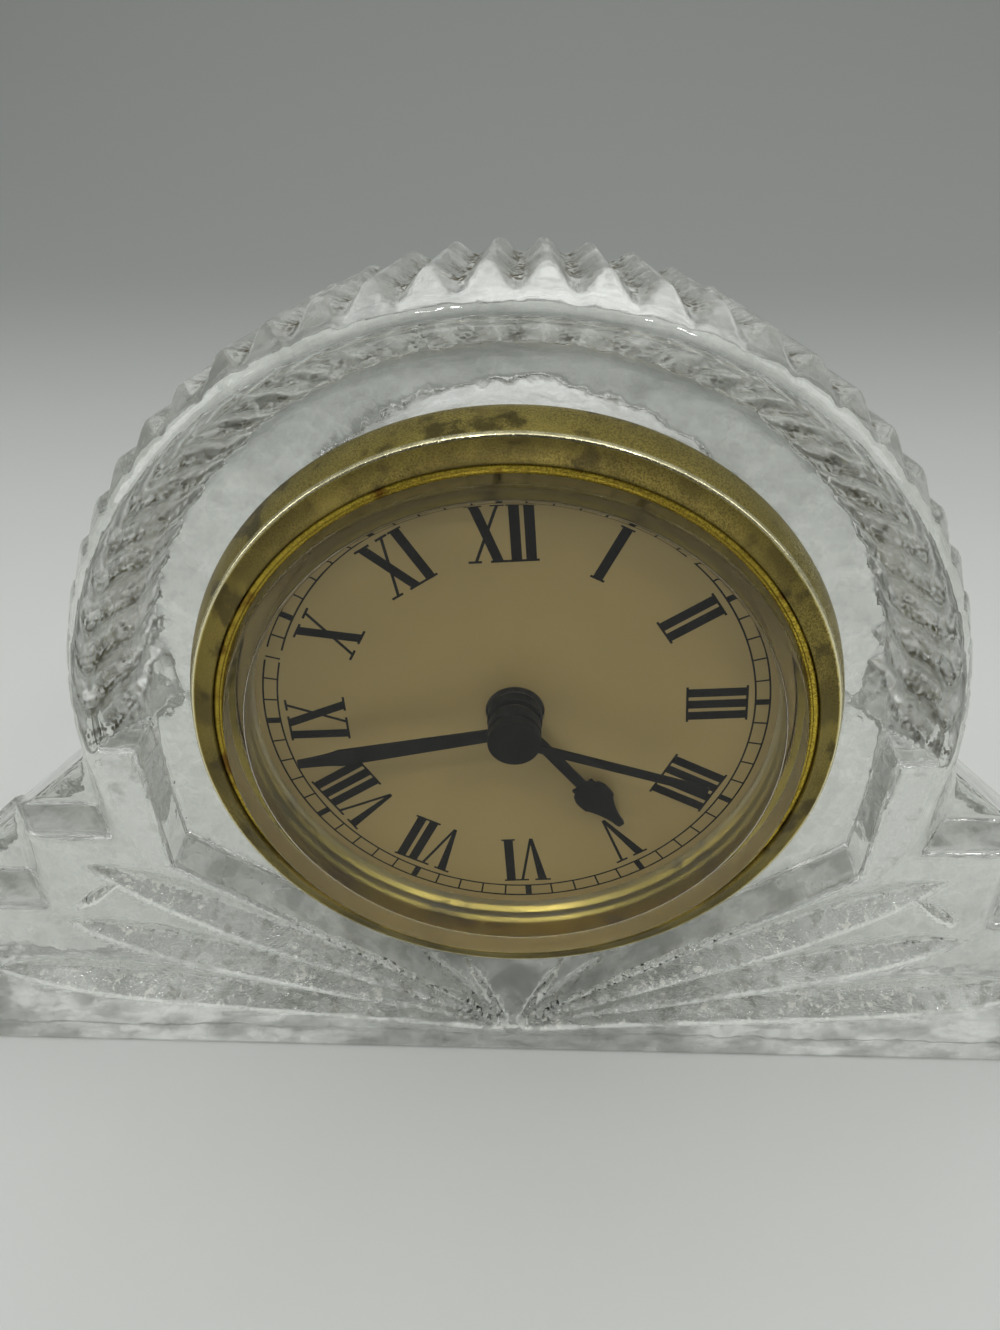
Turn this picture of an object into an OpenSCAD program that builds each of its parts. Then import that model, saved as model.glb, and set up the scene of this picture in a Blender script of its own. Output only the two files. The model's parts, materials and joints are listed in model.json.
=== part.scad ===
// Pressed crystal desk clock with a pull-out quartz insert.
// Frame: X to the right, the dial faces -Y, Z up, origin in the middle of the flat foot.
// Pieces of the insert are drawn in the insert frame: z = 0 on the pocket floor, +z to the viewer.

/* [Crystal body] */
// Width of the foot at the parting line
body_w = 159; // [150:1:175]
// Depth from the front face to the back face
body_d = 31.5; // [29:0.5:36]
// Height of the dial axis above the foot
axis_h = 49.2; // [49:0.1:52]
// Depth of the raised front relief
relief_d = 5.8; // [4.5:0.1:7]
// Size of the outline at the back face against the parting line
back_scale = 0.905; // [0.88:0.005:0.96]
// Radius over the rib crests at the parting line
crest_r = 48; // [47.5:0.1:50]
// Depth of the valleys between the ribs
rib_depth = 1.8; // [1.5:0.1:2.6]
// Angle from one rib to the next
rib_pitch = 6.26; // [5:0.01:8]
// Number of valleys from the top of the arch to each side
rib_side = 15; // [12:1:16]
// Length of the rib noses in front of the parting line
nose_d = 4; // [3:0.1:5.5]
// Radius of the plain front rim
rim_r = 46.3; // [45.7:0.1:46.8]
// Half width of the arch legs on the front face
leg_half_w = 44.8; // [44:0.1:46]
// Half width of the upper step on the front face
upper_half_w = 54.4; // [52:0.1:58]
// Height of the upper step
upper_h = 34.8; // [32:0.1:37]
// Half width of the middle step on the front face
middle_half_w = 65; // [62:0.1:69]
// Height of the middle step
middle_h = 24; // [22:0.1:28]
// Height of the foot step and of the ends
foot_h = 16; // [12:0.1:19]
// Sideways splay of the step walls from the front face to the parting line
splay = 3.8; // [2:0.1:4.5]
// Half width where the shoulder slope meets the arch
shoulder_half_w = 47.7; // [46:0.1:50]
// Height where the shoulder slope meets the arch
shoulder_h = 42.6; // [40:0.1:44]
// Flat top left at each end of the shoulder slope
end_flat = 1.8; // [1:0.1:4]

/* [Pocket and fan cuts] */
// Radius of the pocket floor around the bezel
field_r = 40.3; // [38.8:0.1:41]
// Radius of the cove round the pocket at the front face
cove_r = 44.5; // [43.5:0.1:45.5]
// Drop from the dial axis to the end of the cove
cove_drop = 2; // [1:0.1:4]
// Bulge of the cove towards the glass
cove_sag = 0.7; // [0.2:0.1:1.2]
// Half width of the pocket at its lower corners
pocket_half_w = 38.6; // [37:0.1:40]
// Drop from the dial axis to the lower corners of the pocket
pocket_drop = 18.3; // [17:0.1:24]
// Drop from the dial axis to the centre of the fan
fan_drop = 45.2; // [44:0.1:47]
// Drop from the dial axis to the end of the flat pocket floor
floor_drop = 37.1; // [36:0.1:39]
// Angle of the keel of the lowest leaf
leaf_first = 8; // [6:0.1:12]
// Angle from one leaf to the next
leaf_pitch = 10.2; // [9.5:0.1:11]
// Angle that a leaf spans at its root
leaf_span = 9.7; // [6:0.1:10]
// Length of the lowest leaf
leaf_long = 64; // [55:0.5:68]
// Length of the upper leaves
leaf_short = 55.4; // [50:0.1:58]
// Depth of a leaf cut
leaf_depth = 2.9; // [1.5:0.1:3.6]
// Length of the small leaves below the bezel
sprig_len = 10.6; // [8:0.1:11]
// Depth of the small leaves
sprig_depth = 1.5; // [0.8:0.1:2]

/* [Insert] */
// Radius of the through bore for the insert
bore_r = 30.75; // [30.6:0.05:31]
// Turn of the insert in the bore, anticlockwise from the front
insert_twist = 3.8; // [-10:0.1:10]
// Outer radius of the bezel
bezel_r = 34.9; // [34:0.1:36]
// Height of the bezel over the pocket floor
bezel_h = 5.1; // [4.5:0.1:5.6]
// Width of the front face of the bezel
bezel_face = 2.4; // [2:0.1:2.8]
// Radius of the bezel opening
bezel_open_r = 31.45; // [31.2:0.05:31.7]
// Thickness of the web under the lens flange
web_t = 1; // [0.8:0.1:1.2]
// Outer radius of the lens wall
lens_r = 30.3; // [30:0.05:30.6]
// Height of the lens over the pocket floor
lens_h = 7.85; // [7.6:0.05:8.4]
// Thickness of the lens front
lens_t = 1.5; // [1.2:0.05:1.7]
// Thickness of the lens wall
lens_wall = 2.1; // [1.6:0.1:2.6]
// Thickness of the lens flange
lens_flange_t = 1.2; // [0.8:0.1:1.4]
// Radius of the dial
dial_r = 29.6; // [29:0.1:29.7]
// Thickness of the dial
dial_t = 0.5; // [0.3:0.05:0.6]
// Height of the dial face over the pocket floor
dial_z = 0.03; // [0:0.01:0.1]
// Radius of the hole in the dial
dial_hole_r = 3.2; // [3.1:0.05:3.6]
// Outer radius of the case cup
cup_r = 28.6; // [28.2:0.1:28.8]
// Wall of the case cup
cup_wall = 0.5; // [0.4:0.05:0.6]
// Depth of the case cup behind the pocket floor
cup_d = 16.3; // [16:0.1:18]
// Radius over the ribs of the grip band
band_r = 30.68; // [30.5:0.01:30.7]
// Length of the grip band along the insert
band_len = 7; // [5:0.5:9]
// Number of ribs round the grip band
band_ribs = 36; // [24:1:48]

/* [Hands] */
// Angle of the hour hand, clockwise from twelve
hour_angle = 144; // [0:1:359]
// Angle of the minute hand
minute_angle = 262; // [0:1:359]
// Angle of the seconds hand
second_angle = 110; // [0:1:359]
// Length of the hour hand
hour_len = 19.1; // [16:0.1:21]
// Length of the minute hand
minute_len = 23.9; // [21:0.1:25.5]
// Length of the seconds hand
second_len = 21.6; // [19:0.1:25.5]
// Thickness of the hands
hand_t = 0.3; // [0.2:0.05:0.4]
// Height of the hour hand over the dial
hour_z = 1.2; // [1.1:0.05:1.3]
// Height of the minute hand over the dial
minute_z = 3.55; // [3.4:0.05:3.6]
// Height of the seconds hand over the dial
second_z = 5.4; // [5.3:0.05:5.45]
// Radius of the hubs and of the cap
hub_r = 2.8; // [2.75:0.05:2.9]

/* [Movement] */
// Outer radius of the movement housing
housing_r = 27.9; // [27.5:0.1:28]
// Wall of the movement housing
housing_wall = 1.3; // [1:0.1:1.5]
// Thickness of the housing floor behind the dial
floor_t = 1.6; // [1.4:0.1:1.8]
// Thickness of the wheels
wheel_t = 0.7; // [0.5:0.05:0.75]
// Step from one wheel layer to the next
layer_step = 1.35; // [1.25:0.05:1.4]
// Teeth of the minute pinion
minute_teeth = 12; // [12:1:12]
// Teeth of the motion wheel
motion_teeth = 36; // [36:1:36]
// Teeth of the motion pinion
motion_pinion_teeth = 10; // [10:1:10]
// Teeth of the hour wheel
hour_teeth = 40; // [40:1:40]
// Teeth of the centre wheel
centre_teeth = 64; // [64:1:64]
// Teeth of the third pinion, the seconds pinion and the rotor pinion
small_teeth = 8; // [8:1:8]
// Teeth of the third wheel and of the seconds wheel
large_teeth = 60; // [60:1:60]
// Teeth of the intermediate wheel
inter_teeth = 40; // [40:1:40]
// Teeth of the intermediate pinion
inter_pinion_teeth = 10; // [10:1:10]
// Distance from the centre to the motion wheel
motion_dist = 7.2; // [7.1:0.05:7.3]
// Distance from the centre to the third wheel
third_dist = 9; // [8.95:0.05:9.1]
// Distance from the centre to the intermediate wheel
inter_dist = 9.4; // [9.35:0.05:9.5]
// Distance from the intermediate wheel to the rotor
rotor_dist = 5.28; // [5.2:0.02:5.4]
// Radius of the hour pipe
pipe_r = 2.4; // [2.35:0.05:2.45]
// Radius of the minute arbor
minute_r = 1.42; // [1.4:0.01:1.43]
// Radius of the seconds arbor
second_r = 0.5; // [0.4:0.05:0.55]
// Radius of the thin arbors
arbor_r = 0.35; // [0.3:0.05:0.4]
// Radius of the pivots
pivot_r = 0.25; // [0.2:0.05:0.28]
// Radius of the battery cell
cell_r = 5.8; // [5.7:0.05:5.9]
// Height of the battery cell
cell_h = 5.4; // [5.2:0.1:5.4]
// Radius of the battery lid
lid_r = 6.5; // [6.3:0.05:6.7]
// Radius of the setting knob
knob_r = 4.2; // [3.5:0.1:4.6]
// Height of the setting knob
knob_h = 2.4; // [2:0.1:3]
// Radius of the rotor magnet
magnet_r = 2; // [1.8:0.05:2.1]
// Radial running clearance of arbors and pipes
run_gap = 0.06; // [0.04:0.01:0.08]
// Clearance round pieces that are laid in
seat_gap = 0.1; // [0.05:0.01:0.12]

/* [Hidden] */

$fn = 64;
fine = 96;
eps = 0.05;

// Crystal planes along Y
front_y = -body_d / 2;
step_y = front_y + relief_d;
back_y = body_d / 2;
back_d = body_d - relief_d;
valley_r = crest_r - rib_depth;
rib_steps = 8;
rim_edge = 0.5;
rim_lean = 0.3;
rim_back = 0.35;
parting_scale = 0.997;
slope_run = body_w / 2 - end_flat - shoulder_half_w;
slope_rise = shoulder_h - foot_h;
slope_in_x = 41;
slope_in_h = shoulder_h + (shoulder_half_w - slope_in_x) * slope_rise / slope_run;
foot_half_w = body_w / 2 - splay;
bore_edge = 0.4;

// Leaf cuts
leaf_rows = 3;
leaf_stations = 10;
leaf_power = 7;
leaf_keel = 0.39;
leaf_over = 0.6;
leaf_root = 0.05;
sprig_angles = [40, 55];
sprig_span = 13;
sprig_power = 2.5;
sprig_grow = 4.2;
notch_from = [45.6, -21.6];
notch_dir = -37;
notch_len = 6.8;
notch_span = 32;
notch_depth = 1.7;
fan_slope = atan(relief_d / (fan_drop - floor_drop));

// Bezel, lens and ring
skirt_in_r = dial_r + 0.15;
skirt_out_r = skirt_in_r + 0.6;
skirt_d = 3.4;
flange_r = bezel_open_r - 0.2;
flange_z = web_t;
ring_top = 4.6;
ring_in_r = lens_r + 0.12;
ring_out_r = bezel_open_r - 0.05;
lens_edge = 0.35;
bezel_bulge = 0.16;
bezel_dish = 0.45;

// Movement layers, from the front to the back
dial_back = dial_z - dial_t;
housing_top = dial_back - 0.2;
housing_floor = housing_top - floor_t;
layer_1 = housing_floor - 0.4 - wheel_t;
layer_2 = layer_1 - layer_step;
layer_3 = layer_2 - layer_step;
layer_4 = layer_3 - layer_step;
layer_5 = layer_4 - layer_step;
layer_6 = layer_5 - layer_step;
bridge_t = 1;
bridge_top = layer_6 - 0.8;
bridge_back = bridge_top - bridge_t;
cover_t = 1.5;
cover_top = bridge_back - 2;
cover_back = cover_top - cover_t;
pivot_front = housing_floor + 0.8;
pivot_end = bridge_back + 0.3;

// Places in the movement, seen from the front
motion_dir = 150;
third_dir = 90;
inter_dir = 0;
rotor_dir = -50;
set_dir = motion_dir + 60;
motion_at = motion_dist * [cos(motion_dir), sin(motion_dir)];
third_at = third_dist * [cos(third_dir), sin(third_dir)];
inter_at = inter_dist * [cos(inter_dir), sin(inter_dir)];
rotor_at = inter_at + rotor_dist * [cos(rotor_dir), sin(rotor_dir)];
set_at = motion_at + motion_dist * [cos(set_dir), sin(set_dir)];
cell_at = [-12.5, -13.5];
post_at = [[22, 9], [-7, 22.5], [-2.5, -22.5]];
post_r = 1.8;
screw_r = 0.5;
screw_head_r = 1.25;
screw_head_h = 0.8;
pin_hole = pivot_r + run_gap;

// Gear modules from the centre distances
mod_motion = 2 * motion_dist / (minute_teeth + motion_teeth);
mod_hour = 2 * motion_dist / (motion_pinion_teeth + hour_teeth);
mod_centre = 2 * third_dist / (small_teeth + centre_teeth);
mod_third = 2 * third_dist / (small_teeth + large_teeth);
mod_second = 2 * inter_dist / (inter_pinion_teeth + large_teeth);
mod_inter = 2 * rotor_dist / (small_teeth + inter_teeth);
tooth_root = 0.46;
tooth_tip = 0.18;
wheel_add = 0.7;
wheel_ded = 1;
pinion_add = 0.55;
pinion_ded = 1.1;
pinion_limit = 12;

// Stator and coil
stator_ring_r = 4;
stator_hole_r = magnet_r + 0.45;
stator_t = 1;
stator_z = layer_4 - 0.2;
coil_y = -16;
leg_x = [3.6, 16.4];
leg_w = 3;
coil_r = 2.3;
coil_core_w = 2;
coil_core_t = 0.9;

// Circuit board
board_x = -20;
board_y = 4;
board_w = 10.5;
board_h = 11;
board_t = 0.8;
board_z = bridge_top;
can_r = 1;
can_len = 6;

// Battery
cell_back = cover_top + 0.35;
cell_front = cell_back + cell_h;
well_wall = 0.8;
well_r = cell_r + 0.3;
spring_r = 3.4;
screw_bite = 3.6;
leg_drop = 1.5;
leg_h = 7;
leaf_least = 0.3;
spring_hole_r = 1.4;
spring_t = 0.28;
spring_slit = 0.6;
strap_t = 0.2;
strap_w = 3;
run_w = 1.6;
strap_lap = 2;

function polar(r, a) = [r * cos(a), r * sin(a)];

// Rib outline: a cosine wave with a valley at the top of the arch
function crest_radius(a) =
    abs(a) < rib_side * rib_pitch ? crest_r - rib_depth * (1 + cos(360 * a / rib_pitch)) / 2 : valley_r;

// Insert frame: z = 0 on the pocket floor and +z towards the viewer
module insert_frame() {
    translate([0, step_y, axis_h])
        rotate([90, 0, 0])
            children();
}

module turned_insert() {
    insert_frame()
        rotate([0, 0, insert_twist])
            children();
}

module disc(r, z0, z1, fn = 0) {
    translate([0, 0, z0])
        cylinder(h = z1 - z0, r = r, $fn = fn > 0 ? fn : $fn);
}

module at(p) {
    translate([p[0], p[1], 0])
        children();
}

// Crystal body

module crest_outline() {
    last = rib_side * rib_pitch;
    ribs = [for (i = [-rib_side * rib_steps:rib_side * rib_steps])
        let (a = i * rib_pitch / rib_steps, r = crest_radius(a)) [r * sin(a), r * cos(a)]];
    below = [for (i = [1:19])
        let (a = last + i * (360 - 2 * last) / 20) [valley_r * sin(a), valley_r * cos(a)]];
    polygon(concat(ribs, below));
}

module shoulder_outline() {
    half = [[body_w / 2, 0], [body_w / 2, foot_h], [body_w / 2 - end_flat, foot_h],
            [shoulder_half_w, shoulder_h], [slope_in_x, slope_in_h]];
    other = [for (i = [len(half) - 1:-1:0]) [-half[i][0], half[i][1]]];
    polygon(concat(half, other));
}

module drafted_back(z) {
    translate([0, back_y, z])
        rotate([90, 0, 0])
            linear_extrude(height = back_d, scale = 1 / back_scale)
                scale(back_scale)
                    children();
}

module relief_step(half_w, top_h) {
    linear_extrude(height = top_h)
        polygon([[-half_w - splay, step_y + eps], [-half_w - splay, step_y], [-half_w, front_y],
                 [half_w, front_y], [half_w + splay, step_y], [half_w + splay, step_y + eps]]);
}

module front_rim() {
    insert_frame()
        rotate_extrude($fn = fine)
            polygon([[0, -rim_back], [rim_r + rim_lean, -rim_back], [rim_r, relief_d - rim_edge],
                     [rim_r - rim_edge, relief_d], [0, relief_d]]);
}

// Noses: the wave of the crest runs on to the front and a cone cuts it down to the rim.
// They stand a hair inside the back slab, which leaves the parting line of the mould.
module rib_noses() {
    start_z = -rim_back - eps;
    end_r = rim_r - rim_lean;
    nose_slope = (crest_r - end_r) / nose_d;
    insert_frame()
        intersection() {
            translate([0, 0, -rim_back])
                linear_extrude(height = nose_d + rim_back)
                    scale(parting_scale)
                        crest_outline();
            translate([0, 0, start_z])
                cylinder(h = nose_d + eps - start_z, r1 = crest_r - nose_slope * start_z, r2 = end_r, $fn = fine);
        }
}

// Upper pocket: flat floor with a cove that runs out to the front face
module pocket_cove() {
    cove_steps = 6;
    cove = [for (i = [0:cove_steps])
        let (t = i / cove_steps)
        [field_r + (cove_r - field_r) * t + cove_sag * sin(180 * t), (relief_d + eps) * t - cove_sag * sin(180 * t) / 2]];
    intersection() {
        rotate_extrude($fn = fine)
            polygon(concat([[0, 0]], cove, [[0, relief_d + eps]]));
        translate([-cove_r - 2, -cove_drop, -1])
            cube([2 * cove_r + 4, cove_r + cove_drop + 2, relief_d + 2]);
    }
}

// Lower pocket: straight walls, then a pointed end that rises to the centre of the fan
module pocket_point() {
    corner_x = pocket_half_w * (fan_drop - floor_drop) / (fan_drop - pocket_drop);
    linear_extrude(height = relief_d + eps)
        polygon([[-field_r, eps], [-pocket_half_w, -pocket_drop], [pocket_half_w, -pocket_drop],
                 [field_r, eps]]);
    hull() {
        linear_extrude(height = eps)
            polygon([[-pocket_half_w, -pocket_drop], [-corner_x, -floor_drop],
                     [corner_x, -floor_drop], [pocket_half_w, -pocket_drop]]);
        translate([0, 0, relief_d])
            linear_extrude(height = eps)
                polygon([[-pocket_half_w, -pocket_drop], [0, -fan_drop], [pocket_half_w, -pocket_drop]]);
    }
}

// Leaf cut with its root at the origin: a V groove along a straight keel, with sides that
// run apart from the root and close in a curve at the tip
module leaf_cut(a0, span, length, depth, power = leaf_power) {
    n = leaf_stations;
    function width(s) = span * (1 - pow(s, power));
    function deep(s) = max(leaf_least, depth * sqrt(sin(180 * s)));
    function reach(s) = (deep(s) + leaf_over) / deep(s);
    function side(s, w) =
        let (k = polar(s * length, a0), p = polar(s * length, a0 + (w - leaf_keel) * width(s)))
        [k[0] + (p[0] - k[0]) * reach(s), k[1] + (p[1] - k[1]) * reach(s), leaf_over];
    function keel(s) =
        let (k = polar(s * length, a0))
        [k[0], k[1], -deep(s)];
    stations = [for (i = [0:n - 1]) leaf_root + (1 - leaf_root) * i / n];
    tip = polar(length, a0);
    points = concat([for (s = stations) each [side(s, 0), keel(s), side(s, 1)]],
                    [[tip[0], tip[1], leaf_over]]);
    walls = [for (i = [0:n - 2], j = [0:2])
        let (a = 3 * i + j, b = 3 * i + (j + 1) % 3) each [[a, a + 3, b], [b, a + 3, b + 3]]];
    last = 3 * (n - 1);
    ends = [for (j = [0:2]) [last + j, 3 * n, last + (j + 1) % 3]];
    polyhedron(points = points, faces = concat(walls, ends, [[0, 1, 2]]));
}

module fan_cuts() {
    for (side = [0, 1])
        mirror([side, 0, 0]) {
            for (i = [0:leaf_rows - 1])
                translate([0, -fan_drop, relief_d])
                    leaf_cut(leaf_first + i * leaf_pitch, leaf_span, i == 0 ? leaf_long : leaf_short, leaf_depth);
            for (i = [0:len(sprig_angles) - 1])
                translate([0, -fan_drop, relief_d])
                    rotate([-fan_slope, 0, 0])
                        leaf_cut(sprig_angles[i], sprig_span, sprig_len + (1 - i) * sprig_grow, sprig_depth,
                                 sprig_power);
            translate([notch_from[0], notch_from[1], relief_d])
                leaf_cut(notch_dir, notch_span, notch_len, notch_depth, sprig_power);
        }
}

module crystal_body() {
    color([0.86, 0.9, 0.9, 0.5])
        difference() {
            union() {
                drafted_back(axis_h)
                    crest_outline();
                drafted_back(0)
                    shoulder_outline();
                rib_noses();
                front_rim();
                relief_step(leg_half_w, axis_h);
                relief_step(upper_half_w, upper_h);
                relief_step(middle_half_w, middle_h);
                relief_step(foot_half_w, foot_h);
            }
            insert_frame() {
                pocket_cove();
                pocket_point();
                fan_cuts();
                disc(bore_r, -back_d - 1, relief_d + 1, fine);
            }
        }
}

// Insert shell

module bezel() {
    wall_steps = 5;
    wall_lean = bezel_r - bezel_open_r - bezel_face;
    foot_z = 0.2;
    rim_z = bezel_h - bezel_dish;
    wall = [for (i = [0:wall_steps])
        let (t = i / wall_steps)
        [bezel_r - wall_lean * t + bezel_bulge * sin(180 * t), foot_z + (rim_z - foot_z) * t]];
    color([0.62, 0.5, 0.22])
        turned_insert()
            rotate_extrude($fn = fine)
                polygon(concat([[skirt_in_r, -skirt_d], [skirt_out_r, -skirt_d], [skirt_out_r, 0],
                                [bezel_r - foot_z, 0]], wall,
                               [[bezel_open_r + 0.15, bezel_h], [bezel_open_r, bezel_h - 0.15],
                                [bezel_open_r, web_t], [skirt_in_r, web_t]]));
}

module gilt_ring() {
    color([0.8, 0.62, 0.12])
        turned_insert()
            rotate_extrude($fn = fine)
                polygon([[ring_in_r, flange_z + lens_flange_t], [ring_out_r, flange_z + lens_flange_t],
                         [ring_out_r, ring_top - 0.35], [ring_out_r - 0.3, ring_top],
                         [ring_in_r + 0.3, ring_top], [ring_in_r, ring_top - 0.35]]);
}

module lens() {
    in_r = lens_r - lens_wall;
    color([0.9, 0.92, 0.92, 0.35])
        turned_insert()
            rotate_extrude($fn = fine)
                polygon([[0, lens_h - lens_t], [in_r, lens_h - lens_t], [in_r, dial_z],
                         [skirt_in_r - 0.05, dial_z], [skirt_in_r - 0.05, flange_z], [flange_r, flange_z],
                         [flange_r, flange_z + lens_flange_t], [lens_r, flange_z + lens_flange_t],
                         [lens_r, lens_h - lens_edge], [lens_r - lens_edge, lens_h], [0, lens_h]]);
}

module dial() {
    color([0.87, 0.81, 0.6])
        turned_insert()
            difference() {
                disc(dial_r, dial_back, dial_z, fine);
                disc(dial_hole_r, dial_back - 1, dial_z + 1);
            }
}

module case_cup() {
    in_r = cup_r - cup_wall;
    lip = 2.6;
    color([0.75, 0.74, 0.7])
        turned_insert()
            rotate_extrude($fn = fine)
                polygon([[in_r, dial_back - cup_wall], [in_r, cup_wall - cup_d], [in_r - lip, cup_wall - cup_d],
                         [in_r - lip, -cup_d], [cup_r, -cup_d], [cup_r, dial_back - cup_wall],
                         [dial_r, dial_back - cup_wall], [dial_r, dial_back], [in_r, dial_back]]);
}

module grip_band() {
    band_z = -skirt_d - 1 - band_len;
    body_r = band_r - 0.6;
    color([0.2, 0.2, 0.2])
        turned_insert()
            difference() {
                union() {
                    disc(body_r, band_z, band_z + band_len, fine);
                    for (i = [0:band_ribs - 1])
                        rotate([0, 0, i * 360 / band_ribs])
                            translate([body_r - 0.4, -0.7, band_z])
                                cube([band_r - body_r + 0.38, 1.4, band_len]);
                }
                disc(cup_r, band_z - 1, band_z + band_len + 1, fine);
            }
}

// Hands

// Blade outline along +y from half widths at stations: [distance, half width]
module blade(stations) {
    right = [for (p = stations) [p[1], p[0]]];
    left = [for (i = [len(stations) - 1:-1:0]) [-stations[i][1], stations[i][0]]];
    polygon(concat(right, left));
}

module hand_at(angle, z) {
    turned_insert()
        rotate([0, 0, -angle])
            translate([0, 0, z])
                children();
}

module hour_hand() {
    hub_h = 1.3;
    bulb = 14.2;
    taper = [for (i = [0:6])
        let (t = i / 6)
        [bulb + 0.9 + t * (hour_len - bulb - 1.3), 0.5 + 1.25 * pow(1 - t, 1.7)]];
    color([0.08, 0.08, 0.09])
        hand_at(hour_angle, dial_z + hour_z)
            difference() {
                union() {
                    linear_extrude(height = hand_t)
                        blade(concat([[0, 0.63], [11.7, 0.63], [11.7, 1.35], [12.3, 1.35], [12.5, 1.75],
                                      [13.3, 2.05], [bulb, 2.05], [bulb + 0.8, 1.95]], taper,
                                     [[hour_len, 0.35]]));
                    disc(hub_r + 0.15, -0.5, hub_h - 0.5);
                }
                disc(pipe_r, -1, hub_h + 1);
            }
}

module minute_hand() {
    hub_h = 1.5;
    wide = 19.2;
    neck = [for (i = [0:6])
        let (t = i / 6)
        [wide + t * (minute_len - wide - 0.8), 0.55 + 0.48 * pow(1 - t, 1.4) * (1 - 0.25 * sin(180 * t))]];
    color([0.08, 0.08, 0.09])
        hand_at(minute_angle, dial_z + minute_z)
            difference() {
                union() {
                    linear_extrude(height = hand_t)
                        blade(concat([[0, 0.7], [wide - 1, 1.0]], neck, [[minute_len, 0.5]]));
                    disc(hub_r + 0.05, -0.7, hub_h - 0.7);
                }
                disc(minute_r, -1, hub_h + 1);
            }
}

module seconds_hand() {
    color([0.08, 0.08, 0.09])
        hand_at(second_angle, dial_z + second_z)
            difference() {
                union() {
                    linear_extrude(height = hand_t)
                        blade([[0, 0.5], [second_len - 0.2, 0.48], [second_len, 0.3]]);
                    disc(1.4, 0, hand_t);
                }
                disc(second_r, -1, 1);
            }
}

// Cap over the end of the seconds arbor: its rim hangs down to the minute hub
module seconds_cap() {
    top = dial_z + second_z + hand_t + 0.14;
    color([0.07, 0.07, 0.08])
        turned_insert()
            difference() {
                union() {
                    disc(hub_r, dial_z + second_z + hand_t, top - 0.1);
                    disc(hub_r - 0.1, top - 0.11, top);
                    disc(hub_r, dial_z + second_z - 0.8, dial_z + second_z + hand_t);
                }
                disc(hub_r - 0.6, dial_z + second_z - 1, dial_z + second_z + hand_t);
                rotate([0, 0, -second_angle])
                    translate([-0.6, 0, dial_z + second_z - 0.1])
                        cube([1.2, hub_r + 1, hand_t + 0.1]);
            }
}

// Gears

// Straight sided clock teeth, with tooth 0 on the x axis
module gear(teeth, mod, z, thick = wheel_t) {
    small = teeth <= pinion_limit;
    add = small ? pinion_add : wheel_add;
    ded = small ? pinion_ded : wheel_ded;
    tip_r = mod * (teeth / 2 + add);
    root_r = mod * (teeth / 2 - ded);
    pitch = 360 / teeth;
    translate([0, 0, z])
        linear_extrude(height = thick)
            polygon([for (i = [0:teeth - 1]) each [
                polar(root_r, pitch * (i - tooth_root / 2)), polar(tip_r, pitch * (i - tooth_tip / 2)),
                polar(tip_r, pitch * (i + tooth_tip / 2)), polar(root_r, pitch * (i + tooth_root / 2))]]);
}

// Round holes that lighten a wheel
module spokes(r, hole_r, z, count = 4) {
    for (i = [0:count - 1])
        rotate([0, 0, (i + 0.5) * 360 / count])
            translate([r, 0, z - 1])
                cylinder(h = wheel_t + 2, r = hole_r, $fn = 32);
}

module hour_wheel() {
    color([0.1, 0.09, 0.08])
        turned_insert()
            difference() {
                union() {
                    rotate([0, 0, motion_dir + 180 / hour_teeth])
                        gear(hour_teeth, mod_hour, layer_1);
                    disc(pipe_r, layer_1, dial_z + hour_z + 0.7);
                    disc(pipe_r + 0.5, layer_1, housing_floor - 0.05);
                }
                disc(minute_r + run_gap, layer_1 - 1, dial_z + hour_z + 2);
            }
}

module motion_wheel() {
    color([0.9, 0.9, 0.86])
        turned_insert()
            at(motion_at)
                difference() {
                    union() {
                        rotate([0, 0, motion_dir + 180 + 180 / motion_teeth])
                            gear(motion_teeth, mod_motion, layer_2);
                        rotate([0, 0, motion_dir + 180])
                            gear(motion_pinion_teeth, mod_hour, layer_2 + wheel_t - 0.01, layer_1 - layer_2 + 0.01);
                    }
                    disc(0.6 + run_gap, layer_2 - 1, layer_1 + 2);
                    spokes(3.4, 1, layer_2);
                }
}

module minute_arbor() {
    flange_back = layer_3 - 0.35;
    color([0.85, 0.68, 0.3])
        turned_insert()
            difference() {
                union() {
                    rotate([0, 0, motion_dir])
                        gear(minute_teeth, mod_motion, layer_2);
                    disc(minute_r, flange_back, dial_z + minute_z + 0.85);
                    disc(minute_r + 0.7, flange_back, flange_back + 0.25);
                }
                disc(second_r + run_gap, flange_back - 1, dial_z + minute_z + 2);
            }
}

module centre_wheel() {
    color([0.85, 0.68, 0.3])
        turned_insert()
            difference() {
                union() {
                    rotate([0, 0, third_dir + 180 / centre_teeth])
                        gear(centre_teeth, mod_centre, layer_3);
                    disc(2.4, layer_3 - 0.05, layer_2 - 0.06);
                }
                disc(minute_r + run_gap, layer_3 - 1, layer_2 + 1);
                spokes(5.2, 1.5, layer_3, 5);
            }
}

module arbor(r, z0, z1) {
    disc(r, z0, z1, 32);
    disc(pivot_r, pivot_end, z0 + 0.01, 32);
    disc(pivot_r, z1 - 0.01, pivot_front, 32);
}

module third_wheel() {
    color([0.88, 0.72, 0.35])
        turned_insert()
            at(third_at) {
                difference() {
                    rotate([0, 0, third_dir + 180 + 180 / large_teeth])
                        gear(large_teeth, mod_third, layer_4);
                    spokes(5, 1.5, layer_4, 5);
                }
                rotate([0, 0, third_dir + 180])
                    gear(small_teeth, mod_centre, layer_4 + wheel_t - 0.01, layer_3 - layer_4 + 0.01);
                arbor(arbor_r, bridge_top + 0.06, housing_floor - 0.06);
            }
}

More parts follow.
